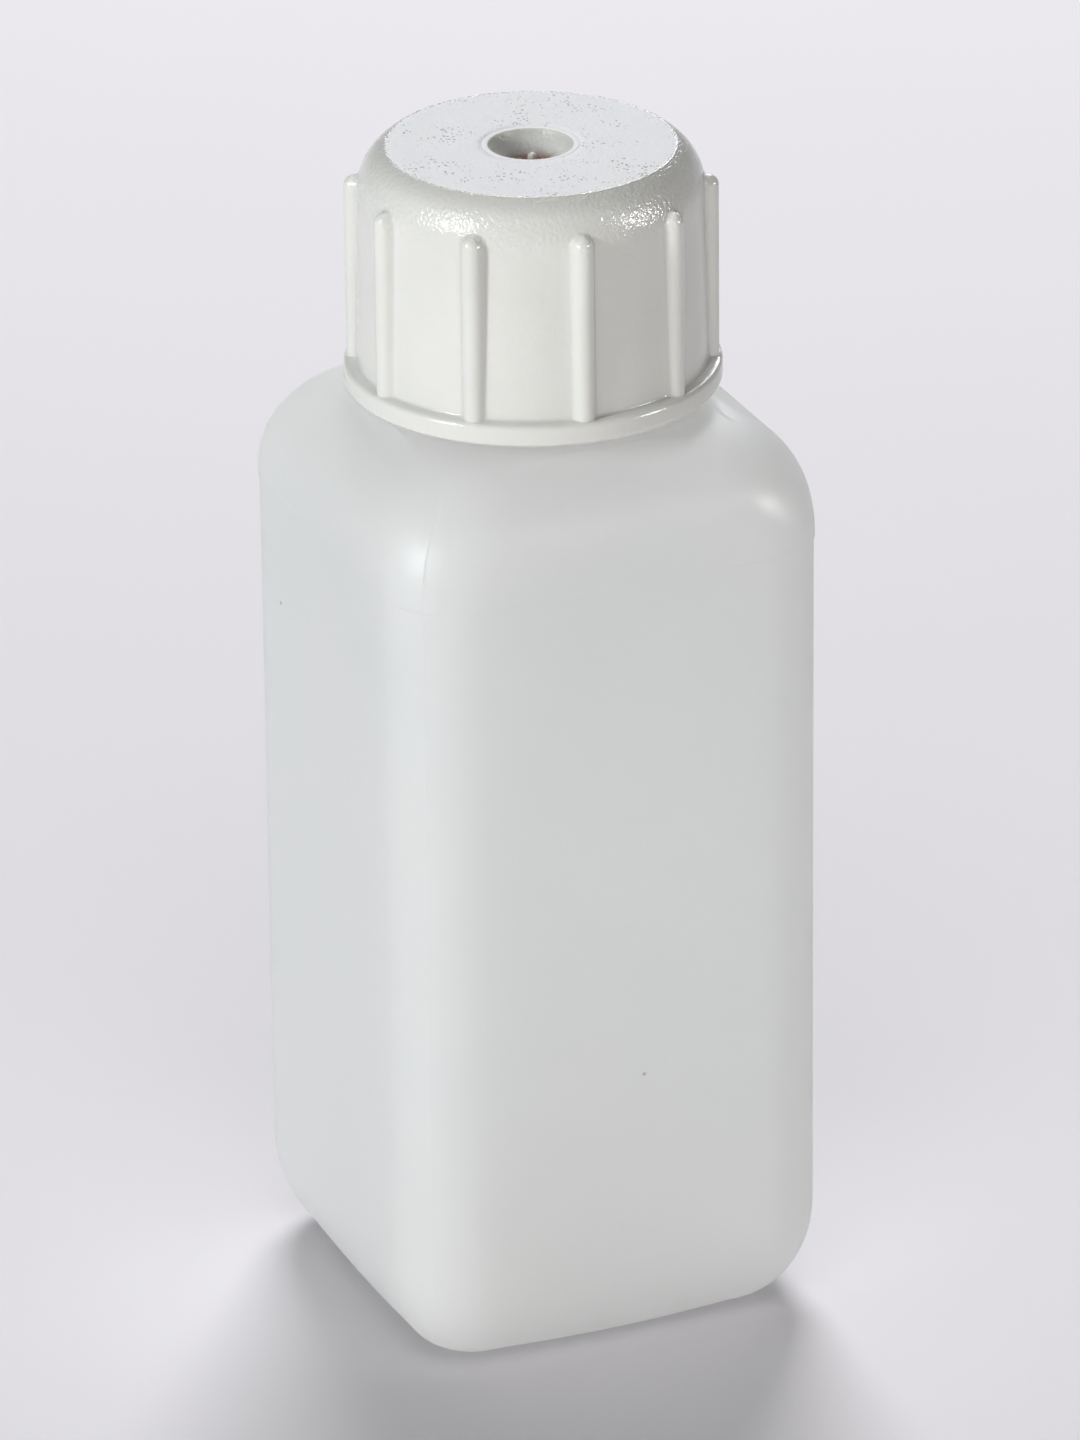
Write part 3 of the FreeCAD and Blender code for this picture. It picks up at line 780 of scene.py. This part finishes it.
def insert_moulding(name):
    """Soft white polyethylene of the sealing insert."""
    look = Look(name)
    look.drive("Base Color", look.blend(look.patches(4 * MM, 3), *INSERT_WHITE))
    look.drive("Roughness", look.uneven(2 * MM, 3, 0.36, 0.48))
    look.fix(IOR=1.5, Subsurface_Weight=0.8, Subsurface_Scale=1.0 * MM, Subsurface_Radius=(1.0, 0.95, 0.9))
    look.drive("Normal", look.bump(look.noise(0.5 * MM, 2), 0.01 * MM))
    return look.material


def floor_look(name):
    look = Look(name)
    look.drive("Base Color", look.blend(look.noise(60 * MM, 4), *FLOOR_TONES))
    look.fix(Roughness=0.75)
    return look.material


# ------------------------------------------------------------------ camera, floor and light

CAMERA_AZIMUTH = math.radians(-22.94)
CAMERA_ELEVATION = math.radians(24.47)
CAMERA_ROLL = -0.0107
LENS = 250.8
SENSOR = 36.0
CAMERA_DISTANCE = 45.28          # in half widths of the bottle
CAMERA_ASIDE = -0.0121
CAMERA_RAISED = 2.4153
LIT_POINT = Vector((0, 0, 0.08))
FLOOR_SIDE = 3.0                 # half width of the floor


def towards(azimuth, elevation):
    """Direction to a place round the object: azimuth from the front to the right, then up."""
    level = math.cos(elevation)
    return Vector((math.sin(azimuth) * level, -math.cos(azimuth) * level, math.sin(elevation)))


def add_camera():
    back = towards(CAMERA_AZIMUTH, CAMERA_ELEVATION)
    right = Vector((math.cos(CAMERA_AZIMUTH), math.sin(CAMERA_AZIMUTH), 0))
    up = back.cross(right)
    tilted = math.cos(CAMERA_ROLL) * right + math.sin(CAMERA_ROLL) * up
    upright = -math.sin(CAMERA_ROLL) * right + math.cos(CAMERA_ROLL) * up
    place = HALF * (CAMERA_ASIDE * tilted + CAMERA_RAISED * upright + CAMERA_DISTANCE * back)
    camera = bpy.data.objects.new("camera", bpy.data.cameras.new("camera"))
    camera.data.lens = LENS
    camera.data.sensor_width = SENSOR
    camera.data.sensor_fit = "AUTO"
    camera.data.clip_end = 10
    camera.matrix_world = Matrix.Translation(place) @ Matrix((tilted, upright, back)).transposed().to_4x4()
    bpy.context.scene.collection.objects.link(camera)
    bpy.context.scene.camera = camera


def add_floor():
    mesh = bpy.data.meshes.new("floor")
    corners = [(x * FLOOR_SIDE, y * FLOOR_SIDE, 0) for x, y in ((-1, -1), (1, -1), (1, 1), (-1, 1))]
    mesh.from_pydata(corners, [], [(0, 1, 2, 3)])
    mesh.materials.append(floor_look("floor_surface"))
    floor = bpy.data.objects.new("floor", mesh)
    bpy.context.scene.collection.objects.link(floor)


def add_light(name, azimuth, elevation, distance, size, power, colour, on_floor=False):
    """Soft box aimed at the bottle, its azimuth measured to the right of the camera. It lights only
    the floor, or else everything but the floor."""
    back = towards(CAMERA_AZIMUTH + math.radians(azimuth), math.radians(elevation))
    light = bpy.data.lights.new(name, "AREA")
    light.shape = "RECTANGLE"
    light.size, light.size_y = size
    light.energy = power
    light.color = colour
    lamp = bpy.data.objects.new(name, light)
    turned = back.to_track_quat("Z", "Y").to_matrix().to_4x4()
    lamp.matrix_world = Matrix.Translation(LIT_POINT + distance * back) @ turned
    bpy.context.scene.collection.objects.link(lamp)
    lit = bpy.data.collections.new(name + "_lit")
    lit.objects.link(bpy.data.objects["floor"])
    if not on_floor:
        lit.collection_objects[0].light_linking.link_state = "EXCLUDE"
    lamp.light_linking.receiver_collection = lit
    return lamp


def add_world(colour, strength):
    world = bpy.data.worlds.new("studio")
    world.use_nodes = True
    background = world.node_tree.nodes["Background"]
    background.inputs["Color"].default_value = (*colour, 1)
    background.inputs["Strength"].default_value = strength
    bpy.context.scene.world = world


def add_lights():
    add_light("left_box", azimuth=-54, elevation=22, distance=1.8, size=(0.32, 0.60),
              power=21.2, colour=(0.95, 0.99, 1.0))
    front_fill = add_light("front_fill", azimuth=8, elevation=4, distance=2.4, size=(1.4, 0.6),
                           power=23.8, colour=(1.0, 0.97, 0.94))
    front_fill.visible_glossy = False
    right_box = add_light("right_box", azimuth=74, elevation=15, distance=0.9, size=(0.08, 0.14),
                          power=4.4, colour=(1.0, 1.0, 0.98))
    right_box.visible_diffuse = False
    add_light("top_box", azimuth=175, elevation=64, distance=1.1, size=(0.7, 0.7),
              power=3.4, colour=(1.0, 0.97, 0.95))
    add_light("back_box", azimuth=170, elevation=28, distance=1.3, size=(0.5, 0.7),
              power=7.7, colour=(0.9, 0.95, 1.0))
    add_light("floor_box", azimuth=180, elevation=46, distance=1.7, size=(0.7, 0.7),
              power=20.3, colour=(1.0, 0.99, 1.0), on_floor=True)
    add_light("floor_fill", azimuth=0, elevation=58, distance=1.7, size=(1.2, 1.2),
              power=8.0, colour=(1.0, 0.98, 0.96), on_floor=True)


add_camera()
add_floor()
add_world((0.96, 0.97, 1.0), 0.11)
add_lights()
bpy.context.scene.view_settings.view_transform = "Standard"

# ------------------------------------------------------------------ the object

bottle = make_bottle()
bottle.data.materials.append(polyethylene("bottle_polyethylene"))
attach(bottle, "bottle")
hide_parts("bottle")

weld = make_pinch_weld()
weld.data.materials.append(bottle.data.materials[0])
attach(weld, "bottle")

cap = make_cap()
cap.data.materials.append(cap_moulding("cap_moulding"))
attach(cap, "cap")
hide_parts("screw_cap")

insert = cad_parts["sealing_insert"]
insert.data.materials.clear()
insert.data.materials.append(insert_moulding("insert_moulding"))
